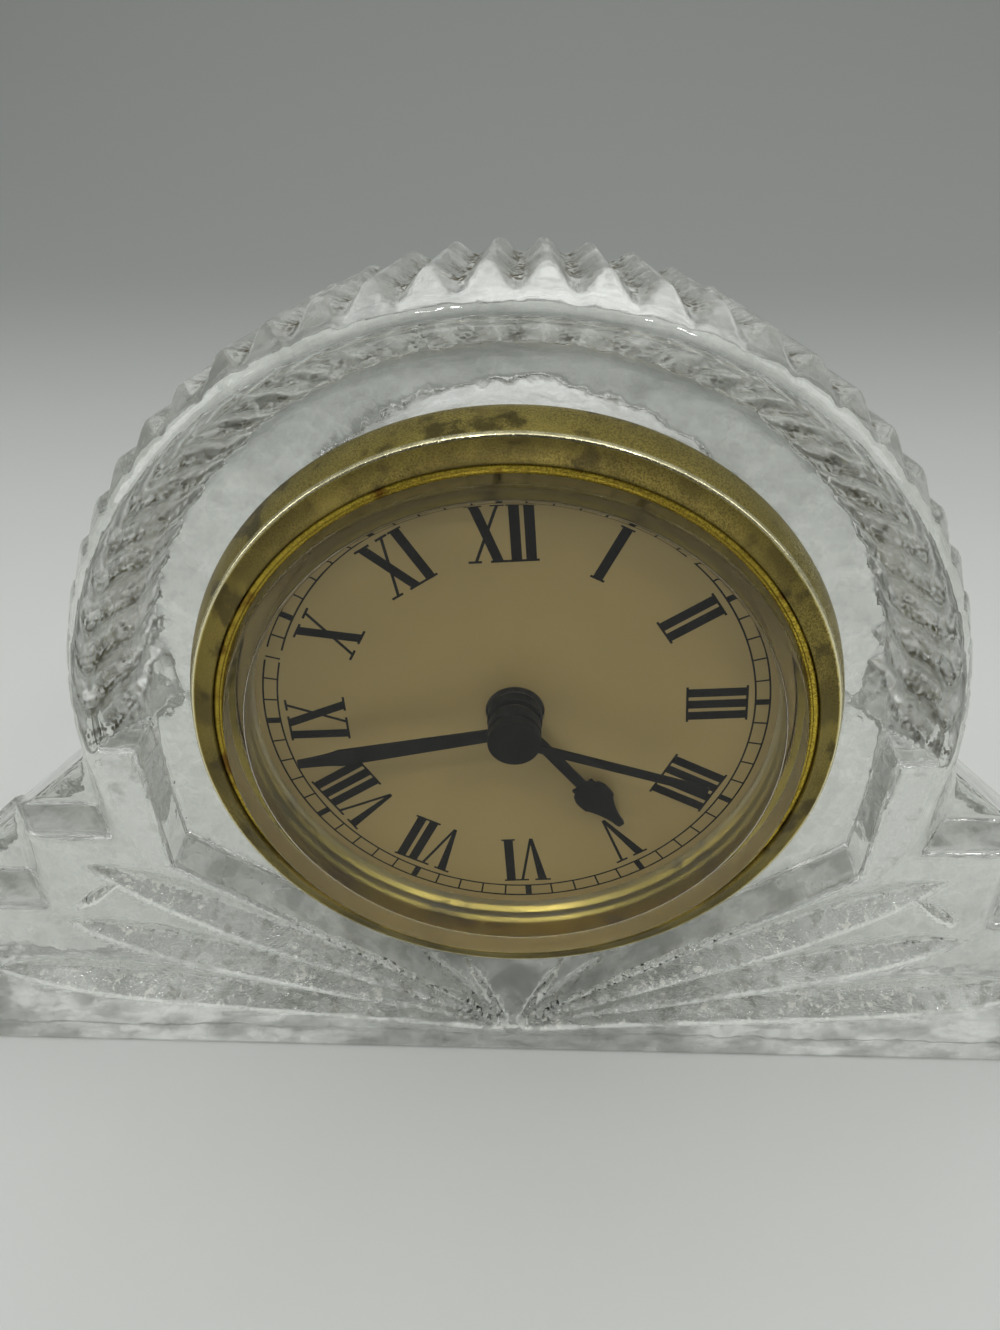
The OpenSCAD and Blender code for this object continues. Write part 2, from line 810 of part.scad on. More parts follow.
module seconds_arbor() {
    color([0.88, 0.72, 0.35])
        turned_insert() {
            rotate([0, 0, third_dir])
                gear(small_teeth, mod_third, layer_4);
            difference() {
                rotate([0, 0, inter_dir + 180 / large_teeth])
                    gear(large_teeth, mod_second, layer_5);
                spokes(5, 1.5, layer_5, 5);
            }
            disc(second_r, bridge_top + 0.06, dial_z + second_z + hand_t);
            disc(pivot_r, pivot_end, bridge_top + 0.1, 32);
        }
}

module intermediate_wheel() {
    color([0.93, 0.92, 0.88])
        turned_insert()
            at(inter_at) {
                difference() {
                    rotate([0, 0, rotor_dir + 180 / inter_teeth])
                        gear(inter_teeth, mod_inter, layer_6);
                    spokes(2.7, 0.7, layer_6);
                }
                rotate([0, 0, inter_dir + 180])
                    gear(inter_pinion_teeth, mod_second, layer_6 + wheel_t - 0.01, layer_5 - layer_6 + 0.01);
                arbor(arbor_r, bridge_top + 0.06, housing_floor - 0.06);
            }
}

module rotor() {
    magnet_back = layer_5 + 0.3;
    magnet_front = layer_3 + 0.3;
    color([0.35, 0.35, 0.38])
        turned_insert()
            at(rotor_at) {
                disc(magnet_r, magnet_back, magnet_front);
                rotate([0, 0, rotor_dir + 180])
                    gear(small_teeth, mod_inter, layer_6);
                arbor(arbor_r, bridge_top + 0.06, housing_floor - 0.06);
            }
}

// Movement housing, bridge and cover

module movement_housing() {
    color([0.1, 0.09, 0.08])
        turned_insert()
            difference() {
                union() {
                    disc(housing_r, housing_floor, housing_top, fine);
                    difference() {
                        disc(housing_r, cover_top, housing_floor, fine);
                        disc(housing_r - housing_wall, cover_top - 1, housing_floor, fine);
                    }
                    for (p = post_at)
                        at(p)
                            disc(post_r, bridge_top, housing_floor + 0.1, 32);
                    at(motion_at)
                        disc(0.6, layer_2 + 0.02, housing_floor + 0.1, 32);
                    for (x = leg_x)
                        at([x, coil_y])
                            disc(1.2, stator_z + stator_t + coil_core_t, housing_floor + 0.1, 32);
                    difference() {
                        at(cell_at)
                            disc(well_r + well_wall, cell_front - 0.6, housing_floor + 0.1);
                        at(cell_at)
                            disc(well_r, cell_front - 1, cell_front + 0.3);
                    }
                    disc(pipe_r + 0.55, housing_top, dial_back + 0.1);
                }
                disc(pipe_r + run_gap, housing_floor - 1, housing_top + 1);
                for (p = [third_at, inter_at, rotor_at])
                    at(p)
                        disc(pin_hole, housing_floor - 0.1, pivot_front + 0.1, 32);
                at(set_at)
                    disc(0.5 + run_gap, housing_floor - 0.1, pivot_front + 0.1, 32);
                for (p = post_at)
                    at(p)
                        disc(screw_r, bridge_top - 0.1, bridge_top + 4, 32);
            }
}

module wheel_bridge() {
    color([0.1, 0.09, 0.08])
        turned_insert()
            difference() {
                disc(housing_r - housing_wall - seat_gap, bridge_back, bridge_top, fine);
                for (p = [third_at, inter_at, rotor_at, [0, 0]])
                    at(p)
                        disc(pin_hole, bridge_back - 1, bridge_top + 1, 32);
                at(set_at)
                    disc(1 + run_gap, bridge_back - 1, bridge_top + 1, 32);
                at(cell_at)
                    disc(well_r + 0.2, bridge_back - 1, bridge_top + 1);
                for (p = post_at)
                    at(p)
                        disc(screw_r + seat_gap, bridge_back - 1, bridge_top + 1, 32);
            }
}

module back_cover() {
    color([0.1, 0.09, 0.08])
        turned_insert()
            difference() {
                union() {
                    disc(housing_r, cover_back, cover_top, fine);
                    difference() {
                        disc(housing_r - housing_wall - seat_gap, cover_top - 0.1, cover_top + 0.6, fine);
                        disc(housing_r - housing_wall - 0.9, cover_top - 1, cover_top + 1, fine);
                    }
                    for (p = post_at)
                        at(p)
                            disc(post_r, cover_top - 0.1, bridge_back, 32);
                }
                at(cell_at) {
                    disc(lid_r + seat_gap, cover_back - 1, cover_back + 1.1);
                    disc(well_r, cover_back - 1, cover_top + 1);
                }
                at(set_at)
                    disc(1 + run_gap, cover_back - 1, cover_top + 1, 32);
                for (p = post_at)
                    at(p) {
                        disc(screw_r + seat_gap, cover_back - 1, bridge_back + 1, 32);
                        disc(screw_head_r + seat_gap, cover_back - 1, cover_back + screw_head_h, 32);
                    }
            }
}

module cover_screws() {
    color([0.7, 0.7, 0.7])
        turned_insert()
            for (p = post_at)
                at(p)
                    difference() {
                        union() {
                            disc(screw_head_r, cover_back, cover_back + screw_head_h, 32);
                            disc(screw_r - 0.02, cover_back + 0.1, bridge_top + screw_bite, 32);
                        }
                        for (a = [0, 90])
                            rotate([0, 0, a])
                                translate([-0.15, -0.8, cover_back - 0.1])
                                    cube([0.3, 1.6, 0.5]);
                    }
}

// Electric pieces

module stator() {
    color([0.6, 0.6, 0.62])
        turned_insert()
            difference() {
                union() {
                    at(rotor_at)
                        disc(stator_ring_r, stator_z, stator_z + stator_t);
                    translate([0, 0, stator_z])
                        linear_extrude(height = stator_t) {
                            for (x = leg_x)
                                translate([x - leg_w / 2, coil_y - leg_drop])
                                    square([leg_w, leg_h]);
                            polygon([[leg_x[0] - leg_w / 2, coil_y + 5.4], [leg_x[0] + leg_w / 2, coil_y + 3],
                                     rotor_at + [-1, -3.4], rotor_at + [-3, 2]]);
                            polygon([[leg_x[1] - leg_w / 2, coil_y + 3], [leg_x[1] + leg_w / 2, coil_y + 5.4],
                                     rotor_at + [3.6, 0], rotor_at + [0.5, -3.4]]);
                        }
                }
                at(rotor_at)
                    disc(stator_hole_r, stator_z - 1, stator_z + 3);
            }
}

module coil_core() {
    color([0.55, 0.55, 0.58])
        turned_insert()
            translate([leg_x[0] - leg_w / 2, coil_y - coil_core_w / 2, stator_z + stator_t])
                cube([leg_x[1] - leg_x[0] + leg_w, coil_core_w, coil_core_t]);
}

module coil_winding() {
    x0 = leg_x[0] + leg_w / 2 + 0.3;
    x1 = leg_x[1] - leg_w / 2 - 0.3;
    color([0.72, 0.35, 0.12])
        turned_insert()
            translate([x0, coil_y, stator_z + stator_t + coil_core_t / 2])
                rotate([0, 90, 0])
                    difference() {
                        union() {
                            cylinder(h = x1 - x0, r = coil_r);
                            cylinder(h = 0.5, r = coil_r + 0.4);
                            translate([0, 0, x1 - x0 - 0.5])
                                cylinder(h = 0.5, r = coil_r + 0.4);
                        }
                        translate([-coil_core_t / 2 - 0.05, -coil_core_w / 2 - 0.05, -1])
                            cube([coil_core_t + 0.1, coil_core_w + 0.1, x1 - x0 + 2]);
                    }
}

module circuit_board() {
    color([0.1, 0.35, 0.2])
        turned_insert() {
            translate([board_x, board_y, board_z])
                cube([board_w, board_h, board_t]);
            translate([board_x + 4, board_y + 4, board_z + board_t - 0.6])
                intersection() {
                    sphere(r = 2, $fn = 32);
                    translate([-3, -3, 0.5])
                        cube([6, 6, 3]);
                }
        }
}

module quartz_can() {
    color([0.8, 0.8, 0.82])
        turned_insert()
            translate([board_x + 2.2, board_y + board_h - 2, board_z + board_t + can_r])
                rotate([0, 90, 0]) {
                    cylinder(h = can_len, r = can_r, $fn = 32);
                    translate([0, 0, can_len - 0.1])
                        cylinder(h = 0.4, r = can_r - 0.2, $fn = 32);
                }
}

module battery_cell() {
    color([0.82, 0.82, 0.8])
        turned_insert()
            at(cell_at) {
                disc(cell_r, cell_back, cell_front - 0.6);
                disc(cell_r - 0.6, cell_front - 0.7, cell_front);
            }
}

// Leaf spring under the cell: a ring foot with a raised tongue
module battery_spring() {
    color([0.85, 0.75, 0.45])
        turned_insert()
            at(cell_at)
                difference() {
                    disc(spring_r, cell_front, cell_front + spring_t);
                    disc(spring_hole_r, cell_front - 1, cell_front + 1);
                    translate([spring_hole_r / 2, -spring_slit / 2, cell_front - spring_t])
                        cube([spring_r, spring_slit, spring_t * 3]);
                }
}

// Strap that touches the side of the cell and runs to the circuit board
module battery_strap() {
    side_x = -cell_r - strap_t - 0.04;
    foot_z = cell_back + 0.6;
    run_x = side_x + strap_t - run_w;
    run_end = board_y + strap_lap;
    color([0.85, 0.75, 0.45])
        turned_insert() {
            at(cell_at)
                translate([side_x, -strap_w / 2, foot_z])
                    cube([strap_t, strap_w, board_z + board_t + strap_t - foot_z]);
            translate([cell_at[0] + run_x, cell_at[1] - strap_w / 2, board_z + board_t])
                cube([run_w, run_end - cell_at[1] + strap_w / 2, strap_t]);
        }
}

module battery_lid() {
    color([0.1, 0.09, 0.08])
        turned_insert()
            at(cell_at)
                difference() {
                    union() {
                        disc(lid_r, cover_back, cover_back + 1);
                        disc(well_r - seat_gap, cover_back + 0.9, cover_top + 0.25);
                    }
                    translate([-lid_r + 1.2, -0.6, cover_back - 1])
                        cube([2 * lid_r - 2.4, 1.2, 1.6]);
                }
}

module set_knob() {
    grips = 18;
    color([0.1, 0.09, 0.08])
        turned_insert()
            at(set_at) {
                rotate([0, 0, motion_dir - 120])
                    gear(minute_teeth, mod_motion, layer_2);
                disc(1, cover_back - 0.4, layer_2 + 0.1, 32);
                disc(0.5, layer_2, pivot_front, 32);
                difference() {
                    disc(knob_r, cover_back - 0.3 - knob_h, cover_back - 0.3);
                    for (i = [0:grips - 1])
                        rotate([0, 0, i * 360 / grips])
                            translate([knob_r + 0.15, 0, cover_back - knob_h - 1])
                                cylinder(h = knob_h + 2, r = 0.45, $fn = 16);
                    disc(1.6, cover_back - knob_h - 1, cover_back - knob_h + 0.5, 32);
                }
            }
}

crystal_body();
bezel();
gilt_ring();
lens();
dial();
case_cup();
grip_band();
hour_hand();
minute_hand();
seconds_hand();
seconds_cap();
movement_housing();
wheel_bridge();
back_cover();
cover_screws();
hour_wheel();
motion_wheel();
minute_arbor();
centre_wheel();
third_wheel();
seconds_arbor();
intermediate_wheel();
rotor();
stator();
coil_core();
coil_winding();
circuit_board();
quartz_can();
battery_cell();
battery_spring();
battery_strap();
battery_lid();
set_knob();
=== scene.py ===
import json
import math
import bmesh
import bpy
import numpy as np
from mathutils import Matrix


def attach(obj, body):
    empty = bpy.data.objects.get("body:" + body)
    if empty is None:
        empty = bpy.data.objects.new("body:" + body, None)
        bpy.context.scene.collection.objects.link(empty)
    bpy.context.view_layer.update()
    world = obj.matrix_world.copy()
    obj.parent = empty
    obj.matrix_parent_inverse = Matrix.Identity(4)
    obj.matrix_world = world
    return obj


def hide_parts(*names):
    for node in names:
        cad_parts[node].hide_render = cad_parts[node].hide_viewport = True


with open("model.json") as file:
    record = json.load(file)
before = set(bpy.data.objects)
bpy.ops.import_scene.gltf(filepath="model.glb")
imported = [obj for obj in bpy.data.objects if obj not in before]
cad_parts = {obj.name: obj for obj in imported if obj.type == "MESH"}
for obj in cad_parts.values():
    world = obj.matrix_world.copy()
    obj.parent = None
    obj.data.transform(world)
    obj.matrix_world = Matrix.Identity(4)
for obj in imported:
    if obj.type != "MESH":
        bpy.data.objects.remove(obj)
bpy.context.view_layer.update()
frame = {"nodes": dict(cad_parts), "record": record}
nodes = frame["nodes"]

# Sizes in millimetres. Over the last 8 mm behind the crest's parting line the ribs grow shallower than the
# solid's, and in front of it their noses run out more gently.
AXIS_H = 49.2
STEP_Y = -9.95
FRONT = 5.8
BACK = 25.7
HALF_W = 79.5
DRAFT = 0.095
FOOT_TOP = 16.0
SHOULDER_TOP = 48.5
SLOPE_X = 77.7          # where the shoulder's slope meets the foot's top
SLOPE_RUN = 30.0
SLOPE_RISE = 26.6
SLOPE_LENGTH = 40.1
TIERS = ((44.8, AXIS_H), (54.4, 34.8), (65.0, 24.0), (75.7, FOOT_TOP))     # half width and height of each step
SPLAY = 3.8
BORE_R = 30.75
GRID = 0.6
DEEP_GRID = 1.26
TWIST = math.radians(3.8)
CREST_R = 48.0
RIB_DEPTH = 1.8
RIB_LOSS = 0.4          # how much shallower the ribs are at the parting line
RIB_FADE = 8            # and over what depth behind it
RIB_PITCH = 6.26        # degrees
RIBBED_HALF = 15        # ribs from the top to either end of the crest
NOSE_SLOPE = 0.29
RIM_R = 46.3
POCKET_R = 40.3
COVE_RUN = 4.2
COVE_SAG = 0.8
CORNER_X = 38.6         # the pocket's lower corners: half width, drop under the axis and lean of the wall to them
CORNER_DROP = 18.3
WALL_LEAN = 1.7
FAN = 45.2              # drop of the fan's centre under the axis
FLOOR_END = 37.1        # drop at which the pocket's floor starts to rise to it
FAN_LEAVES = (64.0, 55.4, 55.4)     # lengths, from the lowest leaf up
FIRST_LEAF = 8          # degrees
LEAF_TURN = 10.2
LEAF_SPAN = 9.7
LEAF_DEPTH = 2.9
DIAL_Z = 0.03
MM = 0.001


# Meshes

def to_row(p, twist=0.0):
    """Points in the dial's frame (x right, y up, z to the viewer, in mm from the pocket floor's centre) to the row
    frame in metres: turned by the insert's twist about z, then x stays, y becomes height and z goes to minus Y."""
    c, s = math.cos(twist), math.sin(twist)
    x = p[..., 0] * c - p[..., 1] * s
    y = p[..., 0] * s + p[..., 1] * c
    return np.stack([x, STEP_Y - p[..., 2], AXIS_H + y], -1) * MM


def add_mesh(name, points, faces, smooth=True):
    """A mesh object from an array of points in metres and an array of faces."""
    mesh = bpy.data.meshes.new(name)
    mesh.from_pydata(points.tolist(), [], faces.tolist())
    mesh.update()
    mesh.shade_smooth() if smooth else mesh.shade_flat()
    obj = bpy.data.objects.new(name, mesh)
    bpy.context.scene.collection.objects.link(obj)
    return obj


def lathe(name, profile, turns=288, mark=None):
    """Profile points (radius, z) turned about the dial axis: x = r sin a, y = r cos a for equal steps of the angle a.
    The profile is a closed loop, or starts and ends on the axis, where all its copies are one point. The attribute
    mark is a function of (radius, z) that the finish reads."""
    prof = np.array(profile, float)
    a = np.linspace(0, 2 * np.pi, turns, endpoint=False)
    ring = np.stack([np.outer(np.sin(a), prof[:, 0]), np.outer(np.cos(a), prof[:, 0]),
                     np.tile(prof[:, 1], (turns, 1))], -1)
    n = len(prof)
    on_axis = prof[0, 0] < 1e-6
    last = n - 1 if on_axis else n
    i = np.arange(turns)[:, None]
    j = np.arange(last)[None, :]
    i2, j2 = (i + 1) % turns, (j + 1) % n
    quads = np.stack([i * n + j, i2 * n + j, i2 * n + j2, i * n + j2], -1).reshape(-1, 4)
    obj = add_mesh(name, to_row(ring.reshape(-1, 3), TWIST), quads)
    if mark is not None:
        value = np.tile(mark(prof[:, 0], prof[:, 1]), turns).astype(np.float32)
        obj.data.attributes.new("mark", "FLOAT", "POINT").data.foreach_set("value", value)
    clean(obj)
    return obj


def clean(obj, gap=1e-6):
    """Merges points that lie on each other and points every face outwards."""
    bm = bmesh.new()
    bm.from_mesh(obj.data)
    bmesh.ops.remove_doubles(bm, verts=bm.verts, dist=gap)
    bmesh.ops.dissolve_degenerate(bm, edges=bm.edges, dist=gap)
    bmesh.ops.recalc_face_normals(bm, faces=bm.faces)
    bm.to_mesh(obj.data)
    bm.free()


def sharp_by_angle(obj, degrees):
    """Edges sharper than the angle stay hard, all others shade smooth."""
    obj.data.set_sharp_from_angle(angle=math.radians(degrees))


# Crystal

def soft_max(a, b, k):
    """The larger of two fields, with the corner between them rounded: max + h^2 k / 4, where h = 1 - |a - b| / k
    and is not below 0."""
    h = np.maximum(k - np.abs(a - b), 0) / k
    return np.maximum(a, b) + h * h * k / 4


def soft_min(a, b, k):
    """The smaller of two fields, with a fillet in the corner between them."""
    return -soft_max(-a, -b, k)


def leaf_cut(along, across, depth_at, length, span, depth, power):
    """Negative inside a leaf: a V whose sides stand at 0.61 and 0.39 of the span (1 - s^power) from a straight keel,
    s = along / length, and whose keel is depth sqrt(sin(pi s)) deep and never under 0.25. depth_at is the height
    over the cut face."""
    s = np.clip(along / length, 0.02, 0.999)
    width = np.radians(span) * (1 - s ** power)
    side = np.where(across > 0, 0.61, 0.39) * width * s * length + 0.02
    deep = np.maximum(0.25, depth * np.sqrt(np.sin(np.pi * s)))
    wall = depth_at + deep * (1 - np.abs(across) / side)
    steep = 1 / np.sqrt(1 + (deep / np.maximum(side, 0.4)) ** 2)
    ends = np.maximum(along - length, 0.02 * length - along)
    return np.maximum(-wall * steep, ends)


def crystal_field(x, y, z, cuts=True):
    """Signed field of the pressed crystal, in mm, negative inside: the cosine-ribbed drafted arch with a cone
    r = crest - slope z that cuts its noses, the drafted shoulders, the plain rim and four splayed steps are joined,
    then the cove, the pointed pocket, the fan of leaves and the bore are taken away, each with its own rounding."""
    ax = np.abs(x)
    r = np.hypot(x, y)
    h = y + AXIS_H
    angle = np.degrees(np.arctan2(ax, y))
    back = np.minimum(z, 0)
    taper = 1 + DRAFT * back / BACK
    depth = RIB_DEPTH - RIB_LOSS * np.clip(z + RIB_FADE, 0, RIB_FADE) / RIB_FADE
    rib = CREST_R - depth / 2 * (1 + np.cos(2 * np.pi * angle / RIB_PITCH))
    rib = np.where(angle > RIBBED_HALF * RIB_PITCH, CREST_R - depth, rib)
    nose = (r - CREST_R + NOSE_SLOPE * z) * 0.96
    crest = soft_max(soft_max(soft_max((r - rib * taper) * 0.85, -BACK - z, 0.9), nose, 0.3), z - FRONT, 2.0)
    sx, sh = ax / taper, h / taper
    slope = ((sx - SLOPE_X) * SLOPE_RISE + (sh - FOOT_TOP) * SLOPE_RUN) / SLOPE_LENGTH
    slope = np.minimum(slope, sh - FOOT_TOP)
    slab = soft_max(soft_max(slope, sx - HALF_W, 1.2), sh - SHOULDER_TOP, 0.5)
    slab = np.maximum(soft_max(slab, -BACK - z, 0.9), z)
    body = soft_min(crest, slab, 0.9)
    rim = np.maximum(soft_max(r - (RIM_R + 0.3 - 0.055 * z), z - FRONT, 2.0), -0.35 - z)
    body = soft_min(body, rim, 0.2)
    splay = SPLAY * (1 - np.clip(z, 0, FRONT) / FRONT)
    steps = None
    for half, top in TIERS:
        tier = soft_max((ax - half - splay) * 0.84, h - top, 0.9)
        steps = tier if steps is None else soft_min(steps, tier, 0.6)
    steps = np.maximum(soft_max(steps, z - FRONT, 1.5), -0.3 - z)
    body = soft_min(body, steps, 0.5)
    t = np.clip(z / FRONT, 0, 1.1)
    cove = POCKET_R + COVE_RUN * t + COVE_SAG * np.sin(np.pi * np.clip(t, 0, 1))
    cove = np.maximum((r - cove) * 0.8, -2.0 - y)
    side = np.where(y > -CORNER_DROP, ax - (POCKET_R + WALL_LEAN * y / CORNER_DROP),
                    (ax - CORNER_X * (FAN + y) / (FAN - CORNER_DROP)) * 0.57)
    low = np.maximum(side, y - 0.05)
    pocket = soft_min(cove, low, 0.4)
    slope_in = math.atan(FRONT / (FAN - FLOOR_END))
    cs, sn = math.cos(slope_in), math.sin(slope_in)
    v = (y + FAN) * cs - (z - FRONT) * sn
    n = (y + FAN) * sn + (z - FRONT) * cs
    floor = soft_max(-z, -n, 0.5)
    pocket = soft_max(pocket, floor, 0.8)
    body = soft_max(body, -pocket, 1.0)
    if not cuts:
        return soft_max(soft_max(body, BORE_R - r, 0.6), -h, 0.8)
    rho = np.hypot(ax, y + FAN)
    turn = np.arctan2(y + FAN, ax)
    for i, length in enumerate(FAN_LEAVES):
        a = turn - math.radians(FIRST_LEAF + LEAF_TURN * i)
        cut = leaf_cut(rho * np.cos(a), rho * np.sin(a), z - FRONT, length, LEAF_SPAN, LEAF_DEPTH, 7)
        body = soft_max(body, -cut, 0.35)
    for a0, length in ((40, 14.8), (55, 10.6)):
        a = np.arctan2(v, ax) - math.radians(a0)
        q = np.hypot(v, ax)
        cut = leaf_cut(q * np.cos(a), q * np.sin(a), n, length, 13, 1.5, 2.5)
        body = soft_max(body, -np.maximum(cut, n - 0.3), 0.3)
    a0 = math.radians(-37)
    nx, ny = ax - 45.6, y + 21.6
    cut = leaf_cut(nx * math.cos(a0) + ny * math.sin(a0), ny * math.cos(a0) - nx * math.sin(a0), z - FRONT,
                   6.8, 32, 1.8, 2.5)
    body = soft_max(body, -cut, 0.3)
    body = soft_max(body, BORE_R - r, 0.6)
    return soft_max(body, -h, 0.8)


def slope_of(field, p, e):
    """Gradient by central differences of width e, and the Laplacian from the same six values."""
    f0 = field(*p.T)
    parts, total = [], -6 * f0
    for k in range(3):
        d = np.zeros(3)
        d[k] = e
        hi, lo = field(*(p + d).T), field(*(p - d).T)
        parts.append((hi - lo) / (2 * e))
        total = total + hi + lo
    return f0, np.stack(parts, -1), total / e ** 2


def skin(field, axes, step):
    """Quads on field = 0 over the grid of three axes: each grid cell that the surface crosses gets one point, the
    mean of the crossings on its twelve edges, and each grid edge that changes sign gets one quad from the four
    cells round it. Three Newton steps p - f grad / |grad|^2 then put the points on the surface, and none leaves
    the crystal's own box."""
    f = field(*np.meshgrid(*axes, indexing="ij"))
    neg = f < 0
    n0, n1, n2 = f.shape
    count = sum(neg[i:n0 - 1 + i, j:n1 - 1 + j, k:n2 - 1 + k].astype(np.int8)
                for i in (0, 1) for j in (0, 1) for k in (0, 1))
    live = (count > 0) & (count < 8)
    index = np.full(live.shape, -1)
    index[live] = np.arange(live.sum())
    cell = np.argwhere(live)
    total, hits = np.zeros((len(cell), 3)), np.zeros(len(cell))
    unit = np.eye(3, dtype=int)
    for k in range(3):
        b, c = unit[(k + 1) % 3], unit[(k + 2) % 3]
        for corner in (0 * b, b, c, b + c):
            p0 = cell + corner
            f0, f1 = f[tuple(p0.T)], f[tuple((p0 + unit[k]).T)]
            cross = (f0 < 0) != (f1 < 0)
            t = np.where(cross, f0 / np.where(cross, f0 - f1, 1), 0)
            total += np.where(cross[:, None], p0 + t[:, None] * unit[k], 0)
            hits += cross
    points = total / hits[:, None]
    points = np.stack([np.interp(points[:, k], np.arange(len(axes[k])), axes[k]) for k in range(3)], -1)
    quads = []
    for k in range(3):
        b, c = unit[(k + 1) % 3], unit[(k + 2) % 3]
        size = np.array(f.shape) - unit[k]
        lo, hi = [slice(0, s) for s in size], [slice(0, s) for s in size]
        hi[k] = slice(1, f.shape[k])
        lo[k] = slice(0, f.shape[k] - 1)
        g = np.argwhere(neg[tuple(lo)] != neg[tuple(hi)])
        g = g[(g[:, (k + 1) % 3] > 0) & (g[:, (k + 2) % 3] > 0)
              & (g[:, (k + 1) % 3] < f.shape[(k + 1) % 3] - 1) & (g[:, (k + 2) % 3] < f.shape[(k + 2) % 3] - 1)]
        q = np.stack([index[tuple((g - b - c).T)], index[tuple((g - c).T)], index[tuple(g.T)],
                      index[tuple((g - b).T)]], -1)
        out = neg[tuple(g.T)]
        quads.append(np.where(out[:, None], q, q[:, ::-1]))
    for _ in range(3):
        f0, grad, _lap = slope_of(field, points, 0.04)
        move = -f0[:, None] * grad / np.maximum((grad ** 2).sum(1), 0.05)[:, None]
        points = points + np.clip(move, -0.25 * step, 0.25 * step)
    return np.clip(points, (-HALF_W, -AXIS_H, -BACK), (HALF_W, CREST_R, FRONT)), np.concatenate(quads)


def make_crystal():
    """The crystal's skin on the grid, which is coarser in depth behind the crest's front, shaded with the field's
    own normals. Its attributes say where the surface is hollow (cleft), lies in a rib's valley (furrow, the wave's
    own cosine squared), is on the ribbed crest (crown), belongs to a leaf (cut, how far it is under the uncut
    surface), to the ground bore (frost) or to the scuffed underside (foot)."""
    deep = np.concatenate([np.arange(-27.0, -1.8, DEEP_GRID), np.arange(-1.8, 7.0, GRID)])
    points, quads = skin(crystal_field, (np.arange(-81.0, 81.6, GRID), np.arange(-50.4, 50.2, GRID), deep), GRID)
    _f, grad, _lap = slope_of(crystal_field, points, 0.15)
    _f, _g, bend = slope_of(crystal_field, points, 0.5)
    obj = add_mesh("crystal_casting", to_row(points), quads)
    normal = grad / np.maximum(np.linalg.norm(grad, axis=1), 1e-9)[:, None]
    normal = np.stack([normal[:, 0], -normal[:, 2], normal[:, 1]], -1)
    obj.data.normals_split_custom_set_from_vertices(normal.tolist())
    x, y, z = points.T
    r, angle = np.hypot(x, y), np.degrees(np.arctan2(np.abs(x), y))
    valley = (1 + np.cos(2 * np.pi * angle / RIB_PITCH)) / 2
    crown = np.clip((r - 41.0) / 0.8, 0, 1) * np.clip((2.6 - z) / 1.5, 0, 1) * (angle < 96) * (z > -BACK + 0.4)
    for name, value in (("cleft", -bend * 0.6), ("furrow", crown * valley ** 2), ("crown", crown),
                        ("cut", -crystal_field(x, y, z, cuts=False) * 2.5), ("frost", (31.2 - r) * 3),
                        ("foot", (-AXIS_H + 0.35 - y) * 5)):
        layer = obj.data.attributes.new(name, "FLOAT", "POINT")
        layer.data.foreach_set("value", np.clip(value, 0, 1).astype(np.float32))
    return obj


# Insert

def make_bezel():
    """Turned bezel: a wall that leans in with a slight bulge from the flange to a bright bevel, a face that rises
    as a shallow cone to its inner lip, and the skirt that goes into the bore."""
    u = np.linspace(0, 1, 9)
    wall = np.stack([34.9 - 1.0 * u + 0.16 * np.sin(np.pi * u), 0.2 + 4.3 * u], -1)[1:]
    bevel = np.array([[33.87, 4.56], [33.77, 4.64], [33.7, 4.66]])
    s = np.linspace(0, 1, 9)[1:]
    face = np.stack([33.7 - 2.06 * s, 4.66 + 1.14 * s - 0.12 * np.sin(np.pi * s)], -1)
    inner = [[31.54, 5.84], [31.45, 5.76], [31.45, 1.02], [29.8, 1.02]]
    skirt = [[29.8, -3.35], [29.85, -3.4], [30.3, -3.4], [30.35, -3.35], [30.35, 0.0], [34.7, 0.0], [34.9, 0.2]]
    return lathe("bezel_turning", np.concatenate([wall, bevel, face, inner, skirt]),
                 mark=lambda r, z: np.where((r > 33.68) & (r < 33.95) & (z > 4.4), 1.0,
                                            np.where((r < 33.68) & (z > 4), -1.0, 0.0)))


def make_gilt_ring():
    """Inner ring: flat gilt land with a rolled bead on its inner edge."""
    a = np.linspace(0, np.pi, 10)
    bead = np.stack([30.6 + 0.18 * np.cos(a), 5.52 + 0.16 * np.sin(a)], -1)
    land = [[31.36, 2.22], [31.36, 5.4], [31.28, 5.48], [31.1, 5.52], [30.9, 5.5]]
    return lathe("gilt_liner", np.concatenate([land, bead, [[30.42, 5.4], [30.42, 2.22]]]))


def make_lens():
    """Cap-shaped lens: thick wall with a foot flange, and a front whose outer and inner corners are quarter
    circles, closed on the axis. The mark is 1 on the wall and the flange."""
    edge = np.linspace(0, np.pi / 2, 7)
    outer = np.stack([29.72 + 0.4 * np.cos(edge), 6.84 + 0.4 * np.sin(edge)], -1)
    inner_edge = np.stack([27.8 + 0.4 * np.sin(edge), 5.95 + 0.4 * np.cos(edge)], -1)
    profile = [[0, 6.35]] + np.stack([np.linspace(4, 27.4, 8), np.full(8, 6.35)], -1).tolist()
    profile += inner_edge.tolist()
    profile += [[28.2, 0.06], [29.7, 0.06], [29.7, 1.05], [31.2, 1.05], [31.2, 2.15], [30.2, 2.15]]
    profile += outer.tolist() + np.stack([np.linspace(29.5, 4, 8), np.full(8, 7.24)], -1).tolist() + [[0, 7.24]]
    obj = lathe("lens_moulding", profile,
                mark=lambda r, z: np.where((r > 30.1) & (z < 6.9) | (r > 27.9) & (z < 6.2), 1.0, 0.0))
    sharp_by_angle(obj, 40)
    return obj


# Dial print

def bar(x0, x1, y0, y1):
    """An upright stroke from x0 to x1, between heights y0 and y1."""
    return [[x0, y0], [x1, y0], [x1, y1], [x0, y1]]


